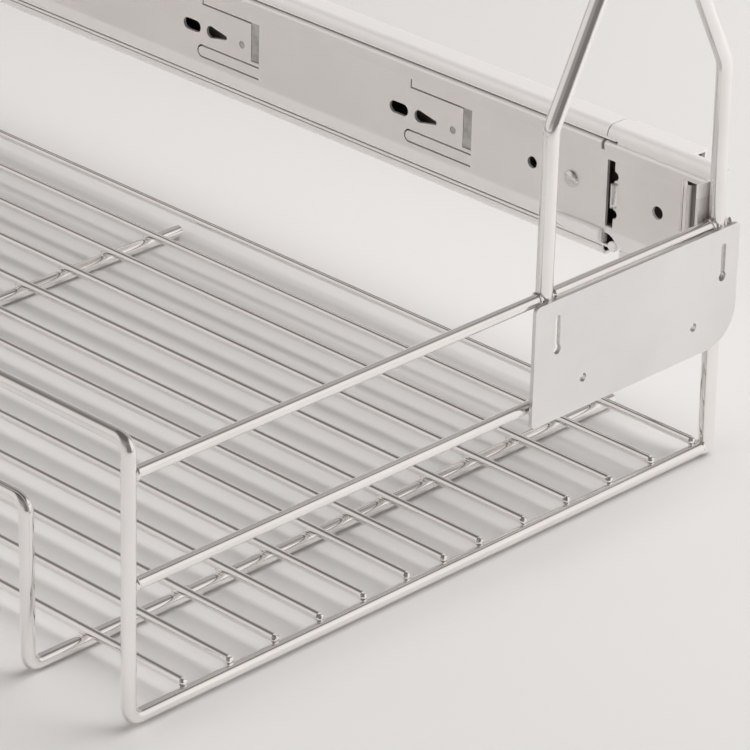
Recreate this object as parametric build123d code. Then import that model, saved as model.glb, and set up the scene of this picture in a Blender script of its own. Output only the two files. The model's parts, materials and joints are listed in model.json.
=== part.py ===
"""Pull-out wire basket for cleaning supplies, on one ball bearing slide.

The basket is welded from bent chromed wire. A thicker wire makes its right front
leg and a bail handle, and a flat plate across the two handle legs takes the
cabinet door.
The slide is a three-member, full extension rail that screws to the wall of
the cabinet on the right.

Millimetres. X runs across the width to the right, seen from the front.
Y runs back into the cabinet, so the basket pulls out towards -Y. Z is up.
The pieces are drawn from the front left corner of the basket, where the centre
lines of the bottom wire and the left post meet. They are written with their
origin on the cabinet wall, in the middle of the slide's row of screw holes.
"""
import os
from math import cos, radians, sqrt, tan

from build123d import *

# Wires of the basket
FRAME_WIRE = 5.0
HANDLE_WIRE = 6.0
RAIL_WIRE = 4.4
FLOOR_WIRE = 3.2
WELD_GAP = 0.04
BEND_RADIUS = 4.6

# Basket frame, measured between centre lines of the frame wire. Its depth
# follows from the slide's length and the reach to the rear post.
BASKET_WIDTH = 280.0
SIDE_RAIL_HEIGHT = 99.5
TOP_RAIL_HEIGHT = 87.6
MID_RAIL_HEIGHT = 48.2

# Low side rail, whose ends run across under the floor as crossbars
CROSSBAR_INSET = 48.0
CROSSBAR_DROP = 0.5
LOW_RAIL_HEIGHT = 60.0
CROSSBAR_OVERRUN = 9.6
CENTRE_BAR_SHORT = 5.6

# Floor. The gaps between neighbouring wires, from the left, are uneven, and
# are fitted to the basket's width in these proportions.
FLOOR_FIRST_X = 24.8
FLOOR_LAST_INSET = 6.4
FLOOR_GAPS = 5 * [20.6] + 2 * [17.8] + 5 * [22.0]

# Handle
HANDLE_WIDTH = 90.5
HANDLE_FOOT_HEIGHT = 44.0
HANDLE_BEND_HEIGHT = 148.5
HANDLE_GRIP = 29.3
RIGHT_LEG_TAPER = 2.6
HANDLE_TOP_HEIGHT = 206.0
HANDLE_CORNER_RADIUS = 14.0
HANDLE_BEND_RADIUS = 10.0

# Door plate across the handle legs
PLATE_THICKNESS = 1.5
PLATE_TOP = 87.5
PLATE_BOTTOM = 42.0
PLATE_LEFT_MARGIN = 8.5
PLATE_RIGHT_MARGIN = 6.0
PLATE_BIG_RADIUS = 14.0
PLATE_SMALL_RADIUS = 2.0
PLATE_SLOT_WIDTH = 2.4
PLATE_SLOT_LENGTH = 14.0
PLATE_SLOT_HEIGHT = 74.6
PLATE_SLOT_LEFT_INSET = 2.7
PLATE_SLOT_RIGHT_INSET = 2.2
PLATE_SLOT_EYE = 3.6
PLATE_HOLE = 3.2
PLATE_HOLE_LEFT_INSET = 16.8
PLATE_HOLE_RIGHT_INSET = 16.3
PLATE_HOLE_HEIGHT = 53.5

# Slide
SLIDE_LENGTH = 450.0
SLIDE_HEIGHT = 51.2
SLIDE_THICKNESS = 12.7
SLIDE_CENTRE_HEIGHT = 79.0
SLIDE_FRONT = 57.5
SLIDE_REAR_REACH = 16.5
SLIDE_TO_LEG = 0.5
RAIL_SHEET = 1.2
MIDDLE_SHEET = 1.0
LIP_DEPTH = 4.0
LIP_SETBACK = 0.9
LIP_ROLL = 2.8
BORDER_WIDTH = 5.3
WEB_SUNK = 0.8
SHEET_BEND = 0.9
MIDDLE_TIP_SETBACK = 0.7

# Ball runs of the slide
BALL = 3.0
BALL_RUNNING = 0.04
BALL_HOLE_PLAY = 0.1
BALL_COUNT = 12
BALL_PITCH = 16.0
BALL_FROM_WALL = 7.0
CAGE_SHEET = 0.6
CAGE_CLEARANCE = 0.3
CAGE_EDGE = 2.2
CAGE_END_MARGIN = 8.0
CHANNEL_CLEARANCE = 0.6

# Ends of the slide's members, from the front of the cabinet member
MIDDLE_LEAD = 4.0
DRAWER_LEAD = 1.2
DRAWER_REAR_INSET = 4.0

# Screw holes of the cabinet member, 128 mm apart on this length of slide
SCREW_HOLE = 4.6
SCREW_FIRST = 35.0
SCREW_LAST_INSET = 31.0
SCREW_COUNT = 4
ACCESS_WIDTH = 10.0
ACCESS_LENGTH = 16.0

# Cuts in the drawer member, in groups along its web
DRAWER_HOLE = 4.6
DIMPLE = 6.4
DIMPLE_CROWN = 2.6
DIMPLE_RISE = 1.7
DIMPLE_AHEAD = 19.4
GROUP_COUNT = 3
GROUP_PITCH = 112.0
GROUP_FRONT = 65.5
GROUP_LENGTH = 31.5
GROUP_TOP = 10.0
GAP_LENGTH = 4.4
GAP_DEPTH = 16.0
LANCE_SLOT = 0.7
HOOK_RISE = 3.6
TONGUE_TOP = -6.6
TONGUE_HEIGHT = 5.4
SMALL_HOLE = 3.0
SMALL_HOLE_BACK = 9.4
KEYHOLE = 5.0
KEYHOLE_BACK = 26.6
KEYHOLE_TAIL = 8.0
KEYHOLE_TAIL_WIDTH = 1.8
WINDOW_LENGTH = 9.6
WINDOW_HEIGHT = 4.8
WINDOW_BACK = 37.2

# Front bracket, from the drawer member to the right handle leg
BRACKET_ROLL = 10.4
BRACKET_FRONT_ROLL = 4.4
BRACKET_STEP = 1.3
BRACKET_END_GAP = 0.5
BRACKET_CREASE = 1.1
BRACKET_CREASE_DEPTH = 0.7
BRACKET_FLANGE = 12.0
BRACKET_FLANGE_TOP = 23.8
BRACKET_FLANGE_LOW = -22.0
BRACKET_NOTCH = 13.0
BRACKET_NOTCH_AHEAD = 0.8
BRACKET_NOTCH_DROP = 22.0
BRACKET_SLIT = 1.4
BRACKET_SLIT_BACK = 1.6
BRACKET_SLIT_LENGTH = 3.6
BRACKET_BACKING_AHEAD = 36.0
BRACKET_SLOT_WIDTH = 3.6
BRACKET_SLOT_HEIGHT = 26.0
BRACKET_LOBE = 3.6
BRACKET_LOBE_SPREAD = 7.4
BRACKET_HOLE = 5.0
BRACKET_HOLE_AHEAD = 24.3
BRACKET_WINDOW_LENGTH = 12.4
BRACKET_WINDOW_HEIGHT = 34.0
BRACKET_WINDOW_AHEAD = 40.8
BRACKET_BAR = 0.8
BRACKET_BAR_AHEAD = 36.2

# Rear bracket, from the drawer member to the rear post
REAR_BRACKET_HEIGHT = 28.0
REAR_POST_OVERRUN = 5.0

# Rear stop inside the cabinet member
BUMPER_LENGTH = 3.0
BUMPER_HEIGHT = 24.0
BUMPER_DEPTH = 8.4
BUMPER_GAP = 0.5

# Places that follow from the sizes above
SLIDE_BACK = SLIDE_FRONT + SLIDE_LENGTH
BASKET_DEPTH = SLIDE_BACK + SLIDE_REAR_REACH
FRAME_R = FRAME_WIRE / 2
HANDLE_R = HANDLE_WIRE / 2
REAR_POST_HEIGHT = SLIDE_CENTRE_HEIGHT + REAR_BRACKET_HEIGHT / 2 + REAR_POST_OVERRUN
CROSSBAR_Z = -CROSSBAR_DROP
FLOOR_Z = CROSSBAR_Z + (FRAME_WIRE + FLOOR_WIRE) / 2 + WELD_GAP
FLOOR_UNDERSIDE = FLOOR_Z - FLOOR_WIRE / 2
LEG_LEFT_X = BASKET_WIDTH - HANDLE_WIDTH
FLOOR_LAST_X = BASKET_WIDTH - FLOOR_LAST_INSET

BORDER_X = BASKET_WIDTH + HANDLE_R + SLIDE_TO_LEG
WALL_X = BORDER_X + SLIDE_THICKNESS
MIDDLE_FRONT = SLIDE_FRONT - MIDDLE_LEAD
MIDDLE_BACK = SLIDE_BACK - BUMPER_LENGTH - BUMPER_GAP
DRAWER_FRONT = SLIDE_FRONT - DRAWER_LEAD
DRAWER_BACK = SLIDE_BACK - DRAWER_REAR_INSET

HALF_HEIGHT = SLIDE_HEIGHT / 2
OUTER_BALL_V = HALF_HEIGHT - RAIL_SHEET - BALL_RUNNING - BALL / 2
MIDDLE_FLANGE_V = OUTER_BALL_V - BALL / 2 - BALL_RUNNING - MIDDLE_SHEET / 2
INNER_BALL_V = MIDDLE_FLANGE_V - MIDDLE_SHEET / 2 - BALL_RUNNING - BALL / 2
DRAWER_FLANGE_V = INNER_BALL_V - BALL / 2 - BALL_RUNNING - RAIL_SHEET / 2
DRAWER_WEB_V = MIDDLE_FLANGE_V - (MIDDLE_SHEET + RAIL_SHEET) / 2 - CHANNEL_CLEARANCE
DRAWER_EDGE_V = DRAWER_WEB_V + RAIL_SHEET / 2
WEB_U = SLIDE_THICKNESS - RAIL_SHEET / 2
SUNK_WEB_U = WEB_U - WEB_SUNK
LIP_U = WEB_U - LIP_SETBACK
OUTER_CAGE_U = RAIL_SHEET + CAGE_CLEARANCE + CAGE_SHEET / 2
MIDDLE_WEB_U = OUTER_CAGE_U + CAGE_SHEET / 2 + CAGE_CLEARANCE + MIDDLE_SHEET / 2
INNER_CAGE_U = MIDDLE_WEB_U + MIDDLE_SHEET / 2 + CAGE_CLEARANCE + CAGE_SHEET / 2
DRAWER_TIP_U = INNER_CAGE_U + CAGE_SHEET / 2 + CHANNEL_CLEARANCE
CAGE_TIP_U = BALL_FROM_WALL + CAGE_EDGE
MIDDLE_TIP_U = WEB_U - MIDDLE_TIP_SETBACK
CAGE_LENGTH = (BALL_COUNT - 1) * BALL_PITCH + 2 * CAGE_END_MARGIN
CAGE_CENTRE = (SLIDE_FRONT + SLIDE_BACK) / 2
SCREW_SPAN = SLIDE_LENGTH - SCREW_FIRST - SCREW_LAST_INSET
SCREW_CENTRE = SLIDE_FRONT + SCREW_FIRST + SCREW_SPAN / 2


def write(shape, node):
    """Write one sub-part, named, as its own file, measured from the wall mount."""
    placed = Pos(-WALL_X, -SCREW_CENTRE, -SLIDE_CENTRE_HEIGHT) * shape
    placed.label = node
    export_step(placed, f"parts/{node}.step")


def screw_depths():
    """Depths of the screw holes that hold the cabinet member to the wall."""
    pitch = SCREW_SPAN / (SCREW_COUNT - 1)
    return [SLIDE_FRONT + SCREW_FIRST + index * pitch for index in range(SCREW_COUNT)]


def bent_wire(points, radii, diameter):
    """One round wire along straight runs, with a bend at each inner point."""
    corners = [Vector(*p) for p in points]
    edges = []
    start = corners[0]
    for corner, after, radius in zip(corners[1:-1], corners[2:], radii):
        inward = (corner - start).normalized()
        outward = (after - corner).normalized()
        turn = radians(inward.get_angle(outward))
        reach = radius * tan(turn / 2)
        bend_in = corner - inward * reach
        bend_out = corner + outward * reach
        middle = (outward - inward).normalized()
        crest = corner + middle * (radius / cos(turn / 2) - radius)
        edges.append(Line(start, bend_in))
        edges.append(ThreePointArc(bend_in, crest, bend_out))
        start = bend_out
    edges.append(Line(start, corners[-1]))
    path = Wire([edge.edge() for edge in edges])
    direction = corners[1] - corners[0]
    section = Plane(origin=corners[0], z_dir=direction) * Circle(diameter / 2)
    return sweep(section, path=path)


def straight_wire(start, end, diameter):
    """One straight round wire."""
    a = Vector(*start)
    run = Vector(*end) - a
    section = Plane(origin=a, z_dir=run) * Circle(diameter / 2)
    return extrude(section, amount=run.length)


def slide_plane(y):
    """Plane across the slide at one depth: u from the wall, v from the centre."""
    return Plane(origin=(WALL_X, y, SLIDE_CENTRE_HEIGHT), x_dir=(-1, 0, 0), z_dir=(0, 1, 0))


def channel(outline, sheet, front, back, bends=SHEET_BEND):
    """A folded sheet section, given by its centre line (u, v), run along Y."""
    line = FilletPolyline(*outline, radius=bends)
    profile = Sketch() + [trace(edge, line_width=sheet) for edge in line.edges()]
    return extrude(slide_plane(front) * profile, amount=back - front)


def web_box(y_front, y_back, v_low, v_high, u_low=SUNK_WEB_U - RAIL_SHEET, u_high=WEB_U + RAIL_SHEET):
    """A box through the near web, for windows and slots."""
    size = Box(u_high - u_low, y_back - y_front, v_high - v_low)
    centre_x = WALL_X - (u_low + u_high) / 2
    centre_z = SLIDE_CENTRE_HEIGHT + (v_low + v_high) / 2
    return Pos(centre_x, (y_front + y_back) / 2, centre_z) * size


def web_hole(y, v, diameter, u=SUNK_WEB_U, length=2 * RAIL_SHEET):
    """A round hole's tool through a web that stands at u from the wall."""
    tool = Cylinder(diameter / 2, length)
    return Pos(WALL_X - u, y, SLIDE_CENTRE_HEIGHT + v) * Rot(0, 90, 0) * tool


def handle_wire():
    """Left leg, handle and right leg, whose round foot ends the bottom rail."""
    right_x = BASKET_WIDTH - RIGHT_LEG_TAPER
    lean_run = (right_x - LEG_LEFT_X - HANDLE_GRIP) / 2
    points = [
        (LEG_LEFT_X, 0, HANDLE_FOOT_HEIGHT),
        (LEG_LEFT_X, 0, HANDLE_BEND_HEIGHT),
        (LEG_LEFT_X + lean_run, 0, HANDLE_TOP_HEIGHT),
        (right_x - lean_run, 0, HANDLE_TOP_HEIGHT),
        (right_x, 0, HANDLE_BEND_HEIGHT),
        (BASKET_WIDTH, 0, 0),
    ]
    radii = [HANDLE_BEND_RADIUS, HANDLE_CORNER_RADIUS, HANDLE_CORNER_RADIUS, HANDLE_BEND_RADIUS]
    foot = Pos(BASKET_WIDTH, 0, 0) * Sphere(HANDLE_R)
    return bent_wire(points, radii, HANDLE_WIRE) + foot


def leg_tools():
    """Room for both handle legs, a weld gap larger than the wire."""
    diameter = HANDLE_WIRE + 2 * WELD_GAP
    left = straight_wire((LEG_LEFT_X, 0, 0), (LEG_LEFT_X, 0, HANDLE_BEND_HEIGHT), diameter)
    right_top = (BASKET_WIDTH - RIGHT_LEG_TAPER, 0, HANDLE_BEND_HEIGHT)
    right = straight_wire((BASKET_WIDTH, 0, 0), right_top, diameter)
    foot = Pos(BASKET_WIDTH, 0, 0) * Sphere(diameter / 2)
    return left, right + foot


def front_frame_wire():
    """Bottom rail from the right leg's foot, left post and the side rail's front half."""
    points = [
        (BASKET_WIDTH, 0, 0),
        (0, 0, 0),
        (0, 0, SIDE_RAIL_HEIGHT),
        (0, BASKET_DEPTH / 2, SIDE_RAIL_HEIGHT),
    ]
    return bent_wire(points, [BEND_RADIUS] * 2, FRAME_WIRE) - leg_tools()[1]


def rear_frame_wire():
    """Rear half of the side rail, rear left post, rear bottom rail and rear post."""
    points = [
        (0, BASKET_DEPTH / 2, SIDE_RAIL_HEIGHT),
        (0, BASKET_DEPTH, SIDE_RAIL_HEIGHT),
        (0, BASKET_DEPTH, 0),
        (BASKET_WIDTH, BASKET_DEPTH, 0),
        (BASKET_WIDTH, BASKET_DEPTH, REAR_POST_HEIGHT),
    ]
    return bent_wire(points, [BEND_RADIUS] * 3, FRAME_WIRE)


def low_side_wire():
    """Front crossbar, low side rail and rear crossbar, bent from one wire."""
    tip_x = FLOOR_LAST_X + CROSSBAR_OVERRUN
    front_y = CROSSBAR_INSET
    rear_y = BASKET_DEPTH - CROSSBAR_INSET
    points = [
        (tip_x, front_y, CROSSBAR_Z),
        (0, front_y, CROSSBAR_Z),
        (0, front_y, LOW_RAIL_HEIGHT),
        (0, rear_y, LOW_RAIL_HEIGHT),
        (0, rear_y, CROSSBAR_Z),
        (tip_x, rear_y, CROSSBAR_Z),
    ]
    return bent_wire(points, [BEND_RADIUS] * 4, FRAME_WIRE)


def centre_crossbar():
    """Straight bar under the middle of the floor."""
    y = BASKET_DEPTH / 2
    start = (FLOOR_FIRST_X - CROSSBAR_OVERRUN, y, CROSSBAR_Z)
    end = (FLOOR_LAST_X - CENTRE_BAR_SHORT, y, CROSSBAR_Z)
    return straight_wire(start, end, FRAME_WIRE)


def post_tool(x, y):
    """Room for one upright post of the frame, a weld gap larger than the wire."""
    return straight_wire((x, y, 0), (x, y, SIDE_RAIL_HEIGHT), FRAME_WIRE + 2 * WELD_GAP)


def front_rails(z):
    """Straight rail from the left post to the left leg, and on to the right leg."""
    left_leg, right_leg = leg_tools()
    left = straight_wire((0, 0, z), (LEG_LEFT_X, 0, z), RAIL_WIRE) - post_tool(0, 0) - left_leg
    right = straight_wire((LEG_LEFT_X, 0, z), (BASKET_WIDTH, 0, z), RAIL_WIRE) - left_leg - right_leg
    return left, right


def rear_rail(z):
    """Straight rail between the two rear posts."""
    rail = straight_wire((0, BASKET_DEPTH, z), (BASKET_WIDTH, BASKET_DEPTH, z), RAIL_WIRE)
    return rail - post_tool(0, BASKET_DEPTH) - post_tool(BASKET_WIDTH, BASKET_DEPTH)


def floor_wires():
    """Straight floor wires, cut to meet the inner side of the bottom rails."""
    meet = sqrt(FRAME_R ** 2 - FLOOR_UNDERSIDE ** 2) + WELD_GAP
    fitted = (FLOOR_LAST_X - FLOOR_FIRST_X) / sum(FLOOR_GAPS)
    wires = []
    for index in range(len(FLOOR_GAPS) + 1):
        x = FLOOR_FIRST_X + sum(FLOOR_GAPS[:index]) * fitted
        start = (x, meet, FLOOR_Z)
        end = (x, BASKET_DEPTH - meet, FLOOR_Z)
        wires.append(straight_wire(start, end, FLOOR_WIRE))
    return wires


def front_plate():
    """Door plate in front of the handle legs, with its slots and holes."""
    left = LEG_LEFT_X - PLATE_LEFT_MARGIN
    right = BASKET_WIDTH + PLATE_RIGHT_MARGIN
    face = Plane(origin=(0, -HANDLE_R - WELD_GAP, 0), x_dir=(1, 0, 0), z_dir=(0, -1, 0))
    middle = Pos((left + right) / 2, (PLATE_BOTTOM + PLATE_TOP) / 2)
    outline = middle * Rectangle(right - left, PLATE_TOP - PLATE_BOTTOM)
    corners = outline.vertices()
    big = corners.sort_by(Axis.X)[-2:].sort_by(Axis.Y)[0]
    small = [corner for corner in corners if corner != big]
    outline = fillet(outline.vertices().sort_by_distance(big)[0], PLATE_BIG_RADIUS)
    for corner in small:
        nearest = outline.vertices().sort_by_distance(corner)[0]
        outline = fillet(nearest, PLATE_SMALL_RADIUS)
    for x in (LEG_LEFT_X + PLATE_SLOT_LEFT_INSET, BASKET_WIDTH - PLATE_SLOT_RIGHT_INSET):
        slot = SlotOverall(PLATE_SLOT_LENGTH, PLATE_SLOT_WIDTH, rotation=90)
        outline -= Pos(x, PLATE_SLOT_HEIGHT) * slot
        eye_z = PLATE_SLOT_HEIGHT - (PLATE_SLOT_LENGTH - PLATE_SLOT_WIDTH) / 2
        outline -= Pos(x, eye_z) * Circle(PLATE_SLOT_EYE / 2)
    for x in (LEG_LEFT_X + PLATE_HOLE_LEFT_INSET, BASKET_WIDTH - PLATE_HOLE_RIGHT_INSET):
        outline -= Pos(x, PLATE_HOLE_HEIGHT) * Circle(PLATE_HOLE / 2)
    return extrude(face * outline, amount=PLATE_THICKNESS)


def cabinet_member():
    """Fixed outer channel, screwed to the cabinet wall, open towards the basket."""
    half = HALF_HEIGHT - RAIL_SHEET / 2
    lip_v = HALF_HEIGHT - LIP_DEPTH
    outline = [
        (LIP_U, lip_v),
        (LIP_U, half),
        (RAIL_SHEET / 2, half),
        (RAIL_SHEET / 2, -half),
        (LIP_U, -half),
        (LIP_U, -lip_v),
    ]
    bends = [LIP_ROLL, SHEET_BEND, SHEET_BEND, LIP_ROLL]
    body = channel(outline, RAIL_SHEET, SLIDE_FRONT, SLIDE_BACK, bends)
    for y in screw_depths():
        body -= web_hole(y, 0, SCREW_HOLE, RAIL_SHEET / 2)
    return body


def intermediate_member():
    """Middle channel between the two ball runs, with openings over the screws."""
    outline = [
        (MIDDLE_TIP_U, MIDDLE_FLANGE_V),
        (MIDDLE_WEB_U, MIDDLE_FLANGE_V),
        (MIDDLE_WEB_U, -MIDDLE_FLANGE_V),
        (MIDDLE_TIP_U, -MIDDLE_FLANGE_V),
    ]
    body = channel(outline, MIDDLE_SHEET, MIDDLE_FRONT, MIDDLE_BACK)
    u_low = MIDDLE_WEB_U - MIDDLE_SHEET
    u_high = MIDDLE_WEB_U + MIDDLE_SHEET
    half_length = ACCESS_LENGTH / 2
    half_width = ACCESS_WIDTH / 2
    for y in screw_depths():
        body -= web_box(y - half_length, y + half_length, -half_width, half_width, u_low, u_high)
    return body


def keyhole(y):
    """A round hole's tool, with a tail that narrows towards the front."""
    tail_y = y - KEYHOLE_TAIL
    head = KEYHOLE / 2
    tip = KEYHOLE_TAIL_WIDTH / 2
    across = Plane(origin=(BORDER_X, 0, SLIDE_CENTRE_HEIGHT), x_dir=(0, 1, 0), z_dir=(1, 0, 0))
    tail = make_face(Polyline((y, head), (tail_y, tip), (tail_y, -tip), (y, -head), close=True))
    tool = extrude(across * tail, amount=2 * RAIL_SHEET)
    return tool + web_hole(y, 0, KEYHOLE) + web_hole(tail_y, 0, KEYHOLE_TAIL_WIDTH)


def drawer_cuts(front):
    """One group of cuts in the drawer member's web, behind the given depth."""
    back = front + GROUP_LENGTH
    slot_top = GROUP_TOP + LANCE_SLOT
    tongue_v = TONGUE_TOP - TONGUE_HEIGHT / 2
    tongue_low = TONGUE_TOP - TONGUE_HEIGHT
    cuts = web_box(front, front + GAP_LENGTH, slot_top - GAP_DEPTH, slot_top, u_low=SUNK_WEB_U)
    cuts += web_box(front, back, GROUP_TOP, slot_top)
    cuts += web_box(back - LANCE_SLOT, back, GROUP_TOP, GROUP_TOP + HOOK_RISE)
    cuts += web_box(front, back, TONGUE_TOP - LANCE_SLOT, TONGUE_TOP)
    cuts += web_box(front, back, tongue_low, tongue_low + LANCE_SLOT)
    round_end = web_hole(back, tongue_v, TONGUE_HEIGHT)
    round_end -= web_hole(back, tongue_v, TONGUE_HEIGHT - 2 * LANCE_SLOT)
    round_end -= web_box(front, back, tongue_low, TONGUE_TOP)
    cuts += round_end
    cuts += web_hole(front + SMALL_HOLE_BACK, 0, SMALL_HOLE, SUNK_WEB_U + RAIL_SHEET)
    cuts += keyhole(front + KEYHOLE_BACK)
    window_front = front + WINDOW_BACK - (WINDOW_LENGTH - WINDOW_HEIGHT) / 2
    window_back = window_front + WINDOW_LENGTH - WINDOW_HEIGHT
    cuts += web_box(window_front, window_back, -WINDOW_HEIGHT / 2, WINDOW_HEIGHT / 2)
    cuts += web_hole(window_front, 0, WINDOW_HEIGHT)
    cuts += web_hole(window_back, 0, WINDOW_HEIGHT)
    return cuts


def drawer_member():
    """Inner channel that carries the basket, its web sunk between two raised borders."""
    knee_u = CAGE_TIP_U + CAGE_CLEARANCE + RAIL_SHEET / 2
    outline = [
        (DRAWER_TIP_U, DRAWER_FLANGE_V),
        (knee_u, DRAWER_FLANGE_V),
        (knee_u, DRAWER_WEB_V),
        (WEB_U, DRAWER_WEB_V),
        (SUNK_WEB_U, DRAWER_WEB_V - BORDER_WIDTH),
        (SUNK_WEB_U, BORDER_WIDTH - DRAWER_WEB_V),
        (WEB_U, -DRAWER_WEB_V),
        (knee_u, -DRAWER_WEB_V),
        (knee_u, -DRAWER_FLANGE_V),
        (DRAWER_TIP_U, -DRAWER_FLANGE_V),
    ]
    body = channel(outline, RAIL_SHEET, DRAWER_FRONT, DRAWER_BACK)
    slit_front = DRAWER_FRONT + BRACKET_SLIT_BACK
    slit_low = DRAWER_EDGE_V - BRACKET_SLIT_LENGTH
    body -= web_box(slit_front, slit_front + BRACKET_SLIT, slit_low, DRAWER_EDGE_V)
    for index in range(GROUP_COUNT):
        body -= drawer_cuts(SLIDE_FRONT + GROUP_FRONT + index * GROUP_PITCH)
    body -= web_hole(SLIDE_FRONT + SCREW_FIRST, 0, DRAWER_HOLE)
    dimple_y = SLIDE_FRONT + SCREW_FIRST - DIMPLE_AHEAD
    upright = (Align.CENTER, Align.CENTER, Align.MIN)
    dimple = Cone(DIMPLE / 2, DIMPLE_CROWN / 2, DIMPLE_RISE, align=upright)
    body += Pos(BORDER_X + WEB_SUNK, dimple_y, SLIDE_CENTRE_HEIGHT) * Rot(0, -90, 0) * dimple
    return body


def front_bracket():
    """Head of the drawer member, full slide height, flanged to the right leg."""
    half = HALF_HEIGHT - RAIL_SHEET / 2
    front = HANDLE_R + WELD_GAP
    lip_back = SLIDE_FRONT - BRACKET_END_GAP
    fold_u = WEB_U - BRACKET_ROLL
    outline = [
        (fold_u, half),
        (LIP_U, half),
        (LIP_U, DRAWER_WEB_V + BRACKET_STEP),
        (WEB_U, DRAWER_WEB_V),
        (SUNK_WEB_U, DRAWER_WEB_V - BORDER_WIDTH),
        (SUNK_WEB_U, BORDER_WIDTH - DRAWER_WEB_V),
        (WEB_U, -DRAWER_WEB_V),
        (LIP_U, -DRAWER_WEB_V - BRACKET_STEP),
        (LIP_U, -half),
        (fold_u, -half),
    ]
    bends = [LIP_ROLL] + [SHEET_BEND] * 6 + [LIP_ROLL]
    body = channel(outline, RAIL_SHEET, front, lip_back, bends)
    lip_v = HALF_HEIGHT - LIP_DEPTH
    body -= web_box(DRAWER_FRONT, lip_back, -lip_v, lip_v, fold_u, SLIDE_THICKNESS)
    middle_room = MIDDLE_FRONT - CHANNEL_CLEARANCE
    crease_u = LIP_U + RAIL_SHEET / 2 - BRACKET_CREASE_DEPTH
    for low in (DRAWER_EDGE_V, -DRAWER_EDGE_V - BRACKET_CREASE):
        body -= web_box(front, lip_back, low, low + BRACKET_CREASE, crease_u, SLIDE_THICKNESS)
    for low in (DRAWER_EDGE_V, -lip_v):
        body -= web_box(middle_room, lip_back, low, low + lip_v - DRAWER_EDGE_V, fold_u, SLIDE_THICKNESS)
    backing_front = DRAWER_FRONT - BRACKET_BACKING_AHEAD
    body -= web_box(front, backing_front, -HALF_HEIGHT, HALF_HEIGHT, fold_u, WEB_U - BRACKET_FRONT_ROLL)
    body += web_box(backing_front, middle_room, -HALF_HEIGHT, HALF_HEIGHT, fold_u - RAIL_SHEET, fold_u)
    notch_y = DRAWER_FRONT - BRACKET_NOTCH_AHEAD
    body -= web_hole(notch_y, -BRACKET_NOTCH_DROP, BRACKET_NOTCH, WEB_U, 2 * BRACKET_ROLL)
    flange_u = SLIDE_THICKNESS + BRACKET_FLANGE
    body += web_box(front, front + RAIL_SHEET, BRACKET_FLANGE_LOW, BRACKET_FLANGE_TOP, SUNK_WEB_U, flange_u)
    slot_front = DRAWER_FRONT - BRACKET_SLOT_WIDTH
    body -= web_box(slot_front, DRAWER_FRONT, -BRACKET_SLOT_HEIGHT / 2, BRACKET_SLOT_HEIGHT / 2)
    for side in (-1, 1):
        body -= web_hole(slot_front, side * BRACKET_LOBE_SPREAD, BRACKET_LOBE)
    body -= web_hole(DRAWER_FRONT - BRACKET_HOLE_AHEAD, 0, BRACKET_HOLE)
    window_y = DRAWER_FRONT - BRACKET_WINDOW_AHEAD
    window_half = BRACKET_WINDOW_LENGTH / 2
    window_v = BRACKET_WINDOW_HEIGHT / 2
    bar_y = DRAWER_FRONT - BRACKET_BAR_AHEAD
    body -= web_box(window_y - window_half, bar_y - BRACKET_BAR / 2, -window_v, window_v)
    body -= web_box(bar_y + BRACKET_BAR / 2, window_y + window_half, -window_v, window_v)
    return body


def rear_bracket():
    """Angle from the rear of the drawer member to the rear post."""
    half = REAR_BRACKET_HEIGHT / 2
    back = BASKET_DEPTH - FRAME_R - WELD_GAP
    tab_u = SUNK_WEB_U - RAIL_SHEET / 2
    flange_u = SLIDE_THICKNESS + BRACKET_FLANGE
    tab = web_box(DRAWER_BACK, back, -half, half, tab_u, tab_u + RAIL_SHEET)
    return tab + web_box(back - RAIL_SHEET, back, -half, half, tab_u, flange_u)


def ball_positions():
    """Depths of the balls along one run."""
    first = CAGE_CENTRE - (BALL_COUNT - 1) * BALL_PITCH / 2
    return [first + index * BALL_PITCH for index in range(BALL_COUNT)]


def ball_cage(web_u, arm_v):
    """Channel of thin sheet that spaces the balls of one pair of runs."""
    outline = [
        (CAGE_TIP_U, arm_v),
        (web_u, arm_v),
        (web_u, -arm_v),
        (CAGE_TIP_U, -arm_v),
    ]
    front = CAGE_CENTRE - CAGE_LENGTH / 2
    body = channel(outline, CAGE_SHEET, front, front + CAGE_LENGTH)
    hole = Cylinder(BALL / 2 + BALL_HOLE_PLAY, 2 * CAGE_SHEET)
    for y in ball_positions():
        for side in (-1, 1):
            body -= Pos(WALL_X - BALL_FROM_WALL, y, SLIDE_CENTRE_HEIGHT + side * arm_v) * hole
    return body


def balls(run_v):
    """The balls of one pair of runs."""
    spheres = []
    for y in ball_positions():
        for side in (-1, 1):
            place = Pos(WALL_X - BALL_FROM_WALL, y, SLIDE_CENTRE_HEIGHT + side * run_v)
            spheres.append(place * Sphere(BALL / 2))
    return Compound(children=spheres)


def rear_bumper():
    """Soft stop across the rear end of the cabinet member."""
    y_front = SLIDE_BACK - BUMPER_LENGTH
    u_low = RAIL_SHEET
    u_high = RAIL_SHEET + BUMPER_DEPTH
    return web_box(y_front, SLIDE_BACK, -BUMPER_HEIGHT / 2, BUMPER_HEIGHT / 2, u_low, u_high)


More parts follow.
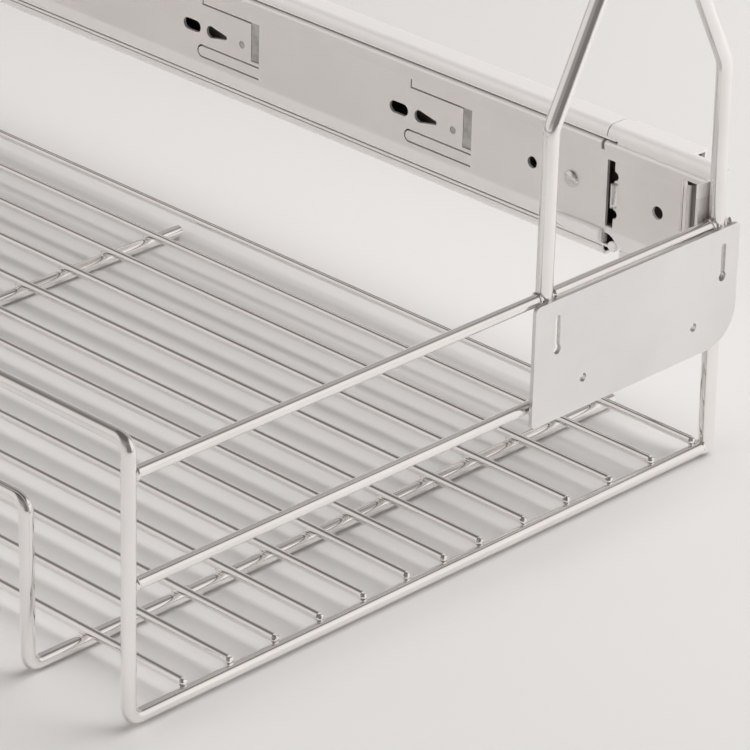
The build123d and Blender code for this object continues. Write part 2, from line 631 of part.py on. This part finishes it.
def main():
    os.makedirs("parts", exist_ok=True)
    write(handle_wire(), "handle_wire")
    write(front_frame_wire(), "front_frame_wire")
    write(rear_frame_wire(), "rear_frame_wire")
    write(low_side_wire(), "low_side_wire")
    write(centre_crossbar(), "centre_crossbar")
    for height, name in ((TOP_RAIL_HEIGHT, "top_rail"), (MID_RAIL_HEIGHT, "mid_rail")):
        left, right = front_rails(height)
        write(left, f"front_{name}")
        write(right, f"front_{name}_right")
        write(rear_rail(height), f"rear_{name}")
    for index, wire in enumerate(floor_wires()):
        write(wire, f"floor_wire_{index + 1:02d}")
    write(front_plate(), "front_plate")
    write(cabinet_member(), "cabinet_member")
    write(intermediate_member(), "intermediate_member")
    write(drawer_member(), "drawer_member")
    write(front_bracket(), "front_bracket")
    write(rear_bracket(), "rear_bracket")
    write(ball_cage(OUTER_CAGE_U, OUTER_BALL_V), "outer_ball_cage")
    write(balls(OUTER_BALL_V), "outer_balls")
    write(ball_cage(INNER_CAGE_U, INNER_BALL_V), "inner_ball_cage")
    write(balls(INNER_BALL_V), "inner_balls")
    write(rear_bumper(), "rear_bumper")


main()
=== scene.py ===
"""Looks of the pull-out wire basket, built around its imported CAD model. Metres."""
import json
from math import cos, pi, radians, sin

import bmesh
import bpy
from mathutils import Matrix, Vector
from mathutils import noise as lumpy


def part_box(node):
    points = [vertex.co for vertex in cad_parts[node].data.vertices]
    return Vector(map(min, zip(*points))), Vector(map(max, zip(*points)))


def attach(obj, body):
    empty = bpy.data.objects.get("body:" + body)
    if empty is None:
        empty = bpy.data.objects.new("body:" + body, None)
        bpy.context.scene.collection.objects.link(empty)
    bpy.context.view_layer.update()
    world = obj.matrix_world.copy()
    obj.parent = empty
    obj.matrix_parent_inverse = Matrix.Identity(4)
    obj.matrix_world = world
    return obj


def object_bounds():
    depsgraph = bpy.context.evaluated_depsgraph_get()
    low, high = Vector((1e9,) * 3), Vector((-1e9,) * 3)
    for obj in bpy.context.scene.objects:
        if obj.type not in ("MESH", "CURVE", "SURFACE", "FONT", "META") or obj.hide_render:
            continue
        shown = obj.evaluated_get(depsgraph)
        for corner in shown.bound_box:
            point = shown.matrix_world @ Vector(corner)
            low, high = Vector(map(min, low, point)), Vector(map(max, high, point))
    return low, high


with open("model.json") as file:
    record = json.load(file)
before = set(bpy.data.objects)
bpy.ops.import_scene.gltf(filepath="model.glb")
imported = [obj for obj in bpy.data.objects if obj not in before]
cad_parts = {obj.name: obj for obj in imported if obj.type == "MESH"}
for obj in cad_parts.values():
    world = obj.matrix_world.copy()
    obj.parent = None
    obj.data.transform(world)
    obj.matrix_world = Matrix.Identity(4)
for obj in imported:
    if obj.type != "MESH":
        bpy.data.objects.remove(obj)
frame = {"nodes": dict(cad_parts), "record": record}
cad_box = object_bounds()

# Camera, fitted to the photograph, in the part's own frame
CAMERA_PLACE = (-1.1293, -1.1895, 0.6541)
CAMERA_AZIMUTH = 46.139
CAMERA_DROP = 26.368
CAMERA_ROLL = 1.523
CAMERA_LENS = 215.6

# Studio. The room's greys go by the height that a ray looks to, as a sine. A wall is
# its azimuth from +Y and height in degrees, the angles where it is full and gone, and
# its grey. A light is its azimuth, height, distance, side and brightness.
FLOOR_GAP = 0.0004
FLOOR_SIZE = 30.0
ROOM_TINT = (1.0, 0.955, 0.93)
ROOM_GREYS = {0.05: 0.62, 0.30: 0.32, 0.60: 0.26, 0.85: 0.12}
WALLS = {
    "right_front": (132, 12, 22, 42, 0.86),
    "right_rear": (72, 30, 14, 36, 0.42),
    "left": (-46, 14, 20, 46, 0.70),
    "behind_camera": (-160, 8, 18, 44, 0.18),
}
LIGHTS = {
    "key": (125, 38, 1.7, 1.7, 2.5),
    "overhead": (115, 76, 1.8, 0.9, 3.0),
    "left": (-85, 15, 2.2, 1.8, 1.6),
}

# Where painted shade darkens the slide's steel inside its channels, which are also fully
# metallic. Each pair is where the change starts and where it is complete. The painted
# shade lies deeper than the web, nearer than the wall side and below the edges. The front
# bracket's open top stays unshaded.
SLIDE_INSIDE_X = (-0.0108, -0.0098)
SLIDE_INSIDE_Z = (0.0250, 0.0244)
WALL_SIDE_X = (-0.0006, -0.0009)
HEAD_OPEN_Y = (-0.2630, -0.2620)
HEAD_OPEN_Z = (0.0180, 0.0174)
# Colours of the painted shade: dark in the other members, lighter in the open channels
INSIDE_PAINTED_SHADE = (0.17, 0.162, 0.155)
INSIDE_LIGHTER_PAINTED_SHADE = (0.52, 0.505, 0.49)
OUTSIDE_METALLIC = 0.3

# Its upper edge and lower border, lightened with a painted highlight
SLIDE_HIGHLIGHT_ABOVE = (0.0184, 0.0190)
SLIDE_HIGHLIGHT_BELOW = (-0.0134, -0.0150)
PAINTED_HIGHLIGHT_COLOUR = (0.99, 0.965, 0.945)

# The members whose insides show when the basket is out
OPEN_CHANNELS = ("cabinet_member", "intermediate_member")

# Grain of drawn metal: along the slide's length, across the plate, and none
ALONG = (1, 0.02, 1)
ACROSS = (0.03, 1, 1)
EVEN = (1, 1, 1)

# Weld beads, by their half sizes. A leg's beads on the plate are their step to the
# side, their step back, their drop from the plate's top and their half sizes.
WELD_UNEVEN = 0.22
BEAD_SINK = 0.0003
WIRE_END_BEAD = (0.0019, 0.0014, 0.0015)
CROSSING_BEAD = (0.0019, 0.0024, 0.0008)
RAIL_COLLAR = (0.0013, 0.0027, 0.0027)
RAIL_COLLAR_IN = 0.0014
FOOT_BEAD = (0.0013, 0.0030, 0.0030)
PLATE_BEADS = (
    (0.0032, -0.0017, 0.0006, (0.0012, 0.0013, 0.0020)),
    (0.0030, 0.0024, 0.0060, (0.0011, 0.0011, 0.0036)),
)
FRAME_RADIUS = 0.0025
LEG_RADIUS = 0.0030

# The slide's faces that pressed details stand on
BORDER_FACE = -0.0127
WEB_FACE = -0.0119

# Domed stop of the drawer member
DIMPLE_Y = -0.2114
DIMPLE_RADIUS = 0.0035
DIMPLE_RISE = 0.0021
DIMPLE_BASE = 0.0001

# Lanced groups: where they start along Y, then the scoop's length, lower and upper end
# and depths, and the dish's distance from the start, radius, base and depth
LANCE_STARTS = (-0.1615, -0.0495, 0.0625)
LANCE_SCOOP = (0.0044, -0.0053, 0.0107)
SCOOP_BASE = 0.00008
SCOOP_DEPTH = 0.00045
SCOOP_MIDDLE = 0.35
SCOOP_SHEET = 0.00003
DISH_AHEAD = 0.0094
DISH_RADIUS = 0.00144
DISH_BASE = 0.0002
DISH_DEPTH = 0.00035

# Rounded lower border at the drawer member's front, and the nub before it
ROLL_END_Y = (-0.2280, -0.1990)
ROLL_END_Z = -0.0168
ROLL_END_HALF = 0.0026
ROLL_END_RISE = 0.0021
ROLL_END_SUNK = 0.0001
ROLL_END_LEAST = 0.02
END_NUB = (-0.0125, -0.2331, -0.0195)
END_NUB_SIZE = (0.0012, 0.0023, 0.0019)

# Tabs of the front bracket: the foot's place along Y, the lower and upper end, the
# sheet, and the bent profile in steps along Y and X
SLOT_TAB = (-0.2318, -0.0046, 0.0050)
SLOT_TAB_SHEET = 0.0004
SLOT_TAB_PROFILE = (
    (-0.0020, 0.0003),
    (-0.0014, -0.0001),
    (-0.0008, -0.0006),
    (-0.0003, -0.0012),
    (-0.0001, -0.0018),
)
WINDOW_TONGUE = (-0.2640, -0.0150, 0.0145)
WINDOW_TONGUE_SHEET = 0.0005
WINDOW_TONGUE_PROFILE = (
    (0.0, 0.0006),
    (-0.0010, 0.0009),
    (-0.0019, 0.0016),
    (-0.0025, 0.0026),
    (-0.0028, 0.0038),
)


def new_material(name):
    """An empty node material with its Principled shader, and helpers to reach them."""
    material = bpy.data.materials.new(name)
    material.use_nodes = True
    nodes = material.node_tree.nodes
    return material, nodes, material.node_tree.links, nodes["Principled BSDF"]


def noise(nodes, links, scale, detail=4.0, stretch=(1, 1, 1)):
    """A noise texture in the part's own coordinates, stretched along an axis if asked."""
    place = nodes.new("ShaderNodeTexCoord")
    mapping = nodes.new("ShaderNodeMapping")
    mapping.inputs["Scale"].default_value = stretch
    texture = nodes.new("ShaderNodeTexNoise")
    texture.inputs["Scale"].default_value = scale
    texture.inputs["Detail"].default_value = detail
    links.new(place.outputs["Object"], mapping.inputs["Vector"])
    links.new(mapping.outputs["Vector"], texture.inputs["Vector"])
    return texture.outputs["Fac"]


def ramp(nodes, links, source, low, high, start=0.35, end=0.65):
    """A colour ramp between two greys or colours, driven by a texture."""
    node = nodes.new("ShaderNodeValToRGB")
    node.color_ramp.elements[0].position = start
    node.color_ramp.elements[1].position = end
    node.color_ramp.elements[0].color = (*low, 1)
    node.color_ramp.elements[1].color = (*high, 1)
    links.new(source, node.inputs["Fac"])
    return node.outputs["Color"]


def spread(nodes, links, source, low, high):
    """A texture's value mapped to a range."""
    node = nodes.new("ShaderNodeMapRange")
    node.inputs["From Min"].default_value = 0.3
    node.inputs["From Max"].default_value = 0.7
    node.inputs["To Min"].default_value = low
    node.inputs["To Max"].default_value = high
    links.new(source, node.inputs["Value"])
    return node.outputs["Result"]


def bump(nodes, links, source, strength, distance):
    """A bump from a texture."""
    node = nodes.new("ShaderNodeBump")
    node.inputs["Strength"].default_value = strength
    node.inputs["Distance"].default_value = distance
    links.new(source, node.inputs["Height"])
    return node.outputs["Normal"]


def metal(name, low, high, rough_low, rough_high, grain, wave, wave_depth, metallic=1.0):
    """Metal with faint colour changes, an uneven gloss and a slightly wavy surface."""
    material, nodes, links, shader = new_material(name)
    shader.inputs["Metallic"].default_value = metallic
    coarse = noise(nodes, links, wave, 3.0)
    fine = noise(nodes, links, 900.0, 6.0, grain)
    links.new(ramp(nodes, links, coarse, low, high), shader.inputs["Base Color"])
    links.new(spread(nodes, links, fine, rough_low, rough_high), shader.inputs["Roughness"])
    links.new(bump(nodes, links, fine, 0.3, wave_depth), shader.inputs["Normal"])
    return material


def chrome_wire():
    return metal("chrome_wire", (0.92, 0.90, 0.885), (0.97, 0.95, 0.935), 0.06, 0.12, EVEN, 40.0, 0.00002)


def between(nodes, links, source, start, end):
    """How far a value has gone from start to end, from 0 to 1."""
    node = nodes.new("ShaderNodeMapRange")
    node.interpolation_type = "SMOOTHSTEP"
    node.inputs["From Min"].default_value = start
    node.inputs["From Max"].default_value = end
    links.new(source, node.inputs["Value"])
    return node.outputs["Result"]


def arithmetic(nodes, links, operation, first, second=None):
    """One step of arithmetic on one or two values."""
    node = nodes.new("ShaderNodeMath")
    node.operation = operation
    links.new(first, node.inputs[0])
    if second is not None:
        links.new(second, node.inputs[1])
    return node.outputs["Value"]


def blend(nodes, links, share, first, colour):
    """A colour socket turned into another colour by a share."""
    node = nodes.new("ShaderNodeMixRGB")
    node.inputs["Color2"].default_value = (*colour, 1)
    links.new(share, node.inputs["Fac"])
    links.new(first, node.inputs["Color1"])
    return node.outputs["Color"]


def slide_painted_shade_mask(nodes, links, split):
    """Where the slide's steel gets painted shade: inside its channels, but not under the front bracket's
    open top.
    """
    height = arithmetic(nodes, links, "ABSOLUTE", split.outputs["Z"])
    deep = between(nodes, links, split.outputs["X"], *SLIDE_INSIDE_X)
    below_edge = between(nodes, links, height, *SLIDE_INSIDE_Z)
    inside = arithmetic(nodes, links, "MULTIPLY", deep, below_edge)
    behind_head = between(nodes, links, split.outputs["Y"], *HEAD_OPEN_Y)
    below_head = between(nodes, links, height, *HEAD_OPEN_Z)
    covered = arithmetic(nodes, links, "MAXIMUM", behind_head, below_head)
    inside = arithmetic(nodes, links, "MULTIPLY", inside, covered)
    off_wall = between(nodes, links, split.outputs["X"], *WALL_SIDE_X)
    return arithmetic(nodes, links, "MULTIPLY", inside, off_wall)


def painted_edge_highlights(nodes, links, split):
    """Where the slide's steel gets a painted highlight: along its upper edge and its lower border."""
    above = between(nodes, links, split.outputs["Z"], *SLIDE_HIGHLIGHT_ABOVE)
    below = between(nodes, links, split.outputs["Z"], *SLIDE_HIGHLIGHT_BELOW)
    return arithmetic(nodes, links, "ADD", above, below)


def slide_steel(name, shade_colour):
    """Pale zinc plated steel, drawn along the slide, with a painted highlight along its edges and painted
    shade inside the channels, which are fully metallic there.
    """
    material = metal(name, (0.86, 0.825, 0.80), (0.90, 0.865, 0.84), 0.30, 0.42, ALONG, 30.0, 0.00002)
    nodes = material.node_tree.nodes
    links = material.node_tree.links
    shader = nodes["Principled BSDF"]
    place = nodes.new("ShaderNodeTexCoord")
    split = nodes.new("ShaderNodeSeparateXYZ")
    links.new(place.outputs["Object"], split.inputs["Vector"])
    inside = slide_painted_shade_mask(nodes, links, split)
    colour = shader.inputs["Base Color"].links[0].from_socket
    # Painted highlight along the upper edge and lower border
    colour = blend(nodes, links, painted_edge_highlights(nodes, links, split), colour, PAINTED_HIGHLIGHT_COLOUR)
    # Painted shade inside the channels
    colour = blend(nodes, links, inside, colour, shade_colour)
    links.new(colour, shader.inputs["Base Color"])
    share = nodes.new("ShaderNodeMapRange")
    share.inputs["To Min"].default_value = OUTSIDE_METALLIC
    share.inputs["To Max"].default_value = 1.0
    links.new(inside, share.inputs["Value"])
    links.new(share.outputs["Result"], shader.inputs["Metallic"])
    return material


def plate_steel():
    return metal("plate_steel", (0.84, 0.83, 0.82), (0.88, 0.87, 0.86), 0.30, 0.40, ACROSS, 30.0, 0.00002)


def polished_steel():
    return metal("polished_steel", (0.84, 0.82, 0.80), (0.92, 0.90, 0.88), 0.10, 0.18, EVEN, 60.0, 0.00001)


def painted_highlight_steel():
    """Plated steel where it is rolled round, made paler and less metallic as a painted highlight."""
    low, high = (0.95, 0.93, 0.91), (0.99, 0.97, 0.95)
    return metal("painted_highlight_steel", low, high, 0.30, 0.42, ALONG, 30.0, 0.00001, metallic=0.15)


def scoop_painted_shade_steel():
    """The slide's steel in the lances' scoops and dishes, darkened with painted shade and a little
    rougher.
    """
    low, high = (0.42, 0.405, 0.39), (0.60, 0.58, 0.56)
    return metal("scoop_painted_shade_steel", low, high, 0.35, 0.50, EVEN, 260.0, 0.00004, metallic=0.5)


def cage_steel():
    return metal("cage_steel", (0.50, 0.49, 0.48), (0.58, 0.57, 0.56), 0.30, 0.42, ALONG, 30.0, 0.00002)


def ball_steel():
    return metal("ball_steel", (0.74, 0.74, 0.75), (0.80, 0.80, 0.81), 0.05, 0.10, EVEN, 60.0, 0.00001)


def bumper_plastic():
    """Dark moulded plastic with a fine grain."""
    material, nodes, links, shader = new_material("bumper_plastic")
    fine = noise(nodes, links, 2500.0, 5.0)
    colour = ramp(nodes, links, fine, (0.03, 0.03, 0.03), (0.05, 0.05, 0.05))
    links.new(colour, shader.inputs["Base Color"])
    links.new(spread(nodes, links, fine, 0.5, 0.65), shader.inputs["Roughness"])
    links.new(bump(nodes, links, fine, 0.4, 0.00005), shader.inputs["Normal"])
    return material


# The materials of the slots, and those of single members and pressed details
MATERIALS = {
    "chromed_wire": chrome_wire(),
    "plate": plate_steel(),
    "slide_steel": slide_steel("slide_steel", INSIDE_PAINTED_SHADE),
    "cage_steel": cage_steel(),
    "ball_steel": ball_steel(),
    "bumper_plastic": bumper_plastic(),
}
# The open channels' steel, with a lighter painted shade inside
CHANNEL_STEEL = slide_steel("channel_steel", INSIDE_LIGHTER_PAINTED_SHADE)
POLISHED_STEEL = polished_steel()
PAINTED_HIGHLIGHT_STEEL = painted_highlight_steel()
SCOOP_PAINTED_SHADE_STEEL = scoop_painted_shade_steel()


def dress_nodes():
    """Give every CAD node the material of its slot, and the open channels their own."""
    for row in frame["record"]["subparts"]:
        material = MATERIALS[row["material_slot"]]
        if row["node"] in OPEN_CHANNELS:
            material = CHANNEL_STEEL
        node = frame["nodes"][row["node"]]
        node.data.materials.clear()
        node.data.materials.append(material)


def new_piece(name, mesh, material, body):
    """Finish a mesh as a smooth piece with its material, carried by a body."""
    data = bpy.data.meshes.new(name)
    mesh.to_mesh(data)
    mesh.free()
    data.shade_smooth()
    data.materials.append(material)
    piece = bpy.data.objects.new(name, data)
    bpy.context.scene.collection.objects.link(piece)
    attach(piece, body)


def lump(mesh, place, radii):
    """Add one uneven bead to a mesh, kept inside the CAD model's box."""
    made = bmesh.ops.create_icosphere(mesh, subdivisions=3, radius=1.0)
    for vert in made["verts"]:
        reach = 1 + WELD_UNEVEN * lumpy.noise(vert.co * 1.4 + place * 900)
        spot = place + Vector([part * size * reach for part, size in zip(vert.co, radii)])
        vert.co = [min(max(part, low), high) for part, low, high in zip(spot, *cad_box)]


def floor_wires():
    """The boxes of the floor's wires."""
    names = [row["node"] for row in frame["record"]["subparts"]]
    return [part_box(name) for name in sorted(names) if name.startswith("floor_wire")]


def floor_welds():
    """Beads at the ends of the floor wires and where they cross the bars under them."""
    mesh = bmesh.new()
    side_low, side_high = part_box("low_side_wire")
    bar_low, bar_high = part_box("centre_crossbar")
    bars = [
        (side_low.y + FRAME_RADIUS, side_low.x, side_high.x),
        (side_high.y - FRAME_RADIUS, side_low.x, side_high.x),
        ((bar_low.y + bar_high.y) / 2, bar_low.x, bar_high.x),
    ]
    for low, high in floor_wires():
        x = (low.x + high.x) / 2
        z = (low.z + high.z) / 2 - BEAD_SINK
        lump(mesh, Vector((x, low.y, z)), WIRE_END_BEAD)
        lump(mesh, Vector((x, high.y, z)), WIRE_END_BEAD)
        for y, start, end in bars:
            if start < x < end:
                lump(mesh, Vector((x, y, low.z)), CROSSING_BEAD)
    new_piece("floor_welds", mesh, MATERIALS["chromed_wire"], "basket")


def rail_welds():
    """Collars of weld where the rails meet the posts and the handle's legs."""
    mesh = bmesh.new()
    rails = [row["node"] for row in frame["record"]["subparts"] if "_rail" in row["node"]]
    for rail in rails:
        low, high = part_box(rail)
        y = (low.y + high.y) / 2
        z = (low.z + high.z) / 2
        for x in (low.x + RAIL_COLLAR_IN, high.x - RAIL_COLLAR_IN):
            lump(mesh, Vector((x, y, z)), RAIL_COLLAR)
    leg_low, leg_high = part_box("handle_wire")
    plate_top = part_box("front_plate")[1].z
    leg_x = leg_high.x - LEG_RADIUS
    leg_y = (leg_low.y + leg_high.y) / 2
    foot_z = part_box("front_frame_wire")[0].z + FRAME_RADIUS
    lump(mesh, Vector((leg_x - LEG_RADIUS, leg_y, foot_z)), FOOT_BEAD)
    for side in (-1, 1):
        for step_x, step_y, drop, radii in PLATE_BEADS:
            lump(mesh, Vector((leg_x + side * step_x, leg_y + step_y, plate_top - drop)), radii)
    new_piece("rail_welds", mesh, MATERIALS["chromed_wire"], "basket")


def sheet_from(rows):
    """A mesh of one sheet through rows of points."""
    mesh = bmesh.new()
    grid = [[mesh.verts.new(point) for point in row] for row in rows]
    for row, after in zip(grid, grid[1:]):
        for a, b, c, d in zip(row, row[1:], after[1:], after):
            mesh.faces.new((a, b, c, d))
    return mesh


def thicken(mesh, thickness):
    """Give a sheet its thickness."""
    bmesh.ops.recalc_face_normals(mesh, faces=mesh.faces[:])
    bmesh.ops.solidify(mesh, geom=mesh.faces[:], thickness=thickness)
    return mesh


def lance_scoops():
    """The hollow at the foot of each lance, deeper towards the front and at its ends."""
    length, low, high = LANCE_SCOOP
    for index, start in enumerate(LANCE_STARTS):
        rows = []
        for step in range(9):
            along = step / 8
            y = start + length * along
            row = []
            for rise in range(17):
                share = rise / 16
                hollow = (1 - along) * (SCOOP_MIDDLE + (1 - SCOOP_MIDDLE) * abs(2 * share - 1))
                x = WEB_FACE + SCOOP_BASE + SCOOP_DEPTH * hollow
                row.append((x, y, low + (high - low) * share))
            rows.append(row)
        mesh = thicken(sheet_from(rows), SCOOP_SHEET)
        # The scoop's steel is darkened with painted shade
        new_piece(f"lance_scoop_{index + 1}", mesh, SCOOP_PAINTED_SHADE_STEEL, "basket")


def round_cap(centre_y, radius, base_x, rise):
    """A domed disc on the web, or a dished one where its rise is below zero."""
    rows = []
    for ring in range(9):
        slope = radians(90) * ring / 8
        reach = radius * cos(slope) + 0.00002
        row = []
        for step in range(33):
            turn = 2 * pi * step / 32
            row.append((base_x - rise * sin(slope), centre_y + reach * cos(turn), reach * sin(turn)))
        rows.append(row)
    mesh = sheet_from(rows)
    bmesh.ops.remove_doubles(mesh, verts=mesh.verts[:], dist=0.00003)
    bmesh.ops.recalc_face_normals(mesh, faces=mesh.faces[:])
    return mesh


def dimple_cap():
    """The domed stop pressed out of the drawer member's web."""
    mesh = round_cap(DIMPLE_Y, DIMPLE_RADIUS, WEB_FACE + DIMPLE_BASE, DIMPLE_RISE)
    new_piece("drawer_dimple", mesh, POLISHED_STEEL, "basket")


def lance_dishes():
    """The small pressed dish in each lanced group."""
    for index, start in enumerate(LANCE_STARTS):
        mesh = round_cap(start + DISH_AHEAD, DISH_RADIUS, WEB_FACE + DISH_BASE, -DISH_DEPTH)
        # The dish's steel is darkened with painted shade
        new_piece(f"lance_dish_{index + 1}", mesh, SCOOP_PAINTED_SHADE_STEEL, "basket")


def bent_tab(name, tab, profile, thickness, material):
    """A strip bent out of the sheet, from its profile of steps along Y and X."""
    foot, low, high = tab
    rows = []
    for step_y, step_x in profile:
        row = []
        for rise in range(9):
            row.append((WEB_FACE + step_x, foot + step_y, low + (high - low) * rise / 8))
        rows.append(row)
    mesh = thicken(sheet_from(rows), thickness)
    new_piece(name, mesh, material, "basket")


def roll_end():
    """The rounded lower border at the front of the drawer member, which ends flat at its rear."""
    front, back = ROLL_END_Y
    rows = []
    for step in range(25):
        along = step / 24
        y = front + (back - front) * along
        rounding = (1 - along ** 4) ** 0.5 + ROLL_END_LEAST
        row = []
        for turn in range(17):
            angle = pi * turn / 16
            x = BORDER_FACE + ROLL_END_SUNK - ROLL_END_RISE * rounding * sin(angle)
            row.append((x, y, ROLL_END_Z + ROLL_END_HALF * rounding * cos(angle)))
        rows.append(row + row[:1])
    mesh = sheet_from(rows)
    bmesh.ops.remove_doubles(mesh, verts=mesh.verts[:], dist=0.000001)
    bmesh.ops.holes_fill(mesh, edges=mesh.edges[:], sides=0)
    bmesh.ops.recalc_face_normals(mesh, faces=mesh.faces[:])
    # The rounded border's steel carries a painted highlight
    new_piece("roll_end", mesh, PAINTED_HIGHLIGHT_STEEL, "basket")


def end_nub():
    """The small nub before the rounded border."""
    mesh = bmesh.new()
    lump(mesh, Vector(END_NUB), END_NUB_SIZE)
    # The nub's steel carries a painted highlight
    new_piece("end_nub", mesh, PAINTED_HIGHLIGHT_STEEL, "basket")


def bracket_tabs():
    """The lip in front of the bracket's slot and the tongue behind its window."""
    bent_tab("slot_lip", SLOT_TAB, SLOT_TAB_PROFILE, SLOT_TAB_SHEET, POLISHED_STEEL)
    slide = MATERIALS["slide_steel"]
    bent_tab("window_tongue", WINDOW_TONGUE, WINDOW_TONGUE_PROFILE, WINDOW_TONGUE_SHEET, slide)


def studio_floor():
    """A plain pale floor just under the basket, with a faint unevenness."""
    low, high = cad_box
    centre = (low + high) / 2
    place = (centre.x, centre.y, low.z - FLOOR_GAP)
    bpy.ops.mesh.primitive_plane_add(size=FLOOR_SIZE, location=place)
    floor = bpy.context.object
    floor.name = "studio_floor"
    material, nodes, links, shader = new_material("studio_floor")
    soft = noise(nodes, links, 1.5, 2.0)
    colour = ramp(nodes, links, soft, (0.751, 0.740, 0.727), (0.771, 0.760, 0.747))
    links.new(colour, shader.inputs["Base Color"])
    shader.inputs["Roughness"].default_value = 0.9
    shader.inputs["Specular IOR Level"].default_value = 0.1
    floor.data.materials.append(material)


def towards(azimuth, height):
    """The direction at an azimuth from +Y and a height, both in degrees."""
    turn, rise = radians(azimuth), radians(height)
    return Vector((cos(rise) * sin(turn), cos(rise) * cos(turn), sin(rise)))


def area_light(name, azimuth, height, distance, size, level):
    """A square soft light round the basket's middle, whose face has the given brightness."""
    low, high = cad_box
    target = (low + high) / 2
    away = towards(azimuth, height)
    data = bpy.data.lights.new(name, "AREA")
    data.shape = "SQUARE"
    data.size = size
    data.energy = level * pi * size ** 2
    light = bpy.data.objects.new(name, data)
    bpy.context.scene.collection.objects.link(light)
    light.location = target + away * distance
    light.rotation_euler = away.to_track_quat("Z", "Y").to_euler()
    light.visible_camera = False
    light.visible_glossy = False


def tinted(grey):
    """A grey in the room's warm tint."""
    return [grey * share for share in ROOM_TINT]


def room():
    """A grey room, pale at eye level and dark overhead, with brighter and darker walls."""
    world = bpy.data.worlds.new("studio")
    bpy.context.scene.world = world
    world.use_nodes = True
    nodes = world.node_tree.nodes
    links = world.node_tree.links
    place = nodes.new("ShaderNodeTexCoord")
    split = nodes.new("ShaderNodeSeparateXYZ")
    links.new(place.outputs["Generated"], split.inputs["Vector"])
    grade = nodes.new("ShaderNodeValToRGB")
    links.new(split.outputs["Z"], grade.inputs["Fac"])
    stops = grade.color_ramp.elements
    while len(stops) < len(ROOM_GREYS):
        stops.new(1.0)
    for stop, (height, grey) in zip(stops, ROOM_GREYS.items()):
        stop.position = height
        stop.color = (*tinted(grey), 1)
    colour = grade.outputs["Color"]
    for azimuth, height, full, gone, grey in WALLS.values():
        facing = nodes.new("ShaderNodeVectorMath")
        facing.operation = "DOT_PRODUCT"
        facing.inputs[1].default_value = towards(azimuth, height)
        links.new(place.outputs["Generated"], facing.inputs[0])
        share = nodes.new("ShaderNodeMapRange")
        share.interpolation_type = "SMOOTHSTEP"
        share.inputs["From Min"].default_value = cos(radians(gone))
        share.inputs["From Max"].default_value = cos(radians(full))
        links.new(facing.outputs["Value"], share.inputs["Value"])
        colour = blend(nodes, links, share.outputs["Result"], colour, tinted(grey))
    links.new(colour, nodes["Background"].inputs["Color"])


def studio_light():
    """A large soft light at the right in front, a weaker one at the left and one overhead."""
    room()
    for name, light in LIGHTS.items():
        area_light(name, *light)


def photo_camera():
    """The photograph's camera."""
    azimuth = radians(CAMERA_AZIMUTH)
    drop = radians(CAMERA_DROP)
    roll = radians(CAMERA_ROLL)
    forward = Vector((cos(drop) * sin(azimuth), cos(drop) * cos(azimuth), -sin(drop)))
    level_right = Vector((cos(azimuth), -sin(azimuth), 0))
    level_up = level_right.cross(forward)
    right = cos(roll) * level_right + sin(roll) * level_up
    up = cos(roll) * level_up - sin(roll) * level_right
    data = bpy.data.cameras.new("photo_camera")
    data.lens = CAMERA_LENS
    data.sensor_width = 36.0
    data.clip_start = 0.05
    data.clip_end = 60.0
    camera = bpy.data.objects.new("photo_camera", data)
    bpy.context.scene.collection.objects.link(camera)
    turn = Matrix((right, up, -forward)).transposed().to_4x4()
    camera.matrix_world = Matrix.Translation(CAMERA_PLACE) @ turn
    bpy.context.scene.camera = camera


bpy.context.scene.view_settings.view_transform = "Standard"
dress_nodes()
floor_welds()
rail_welds()
dimple_cap()
lance_scoops()
lance_dishes()
bracket_tabs()
roll_end()
end_nub()
studio_floor()
studio_light()
photo_camera()
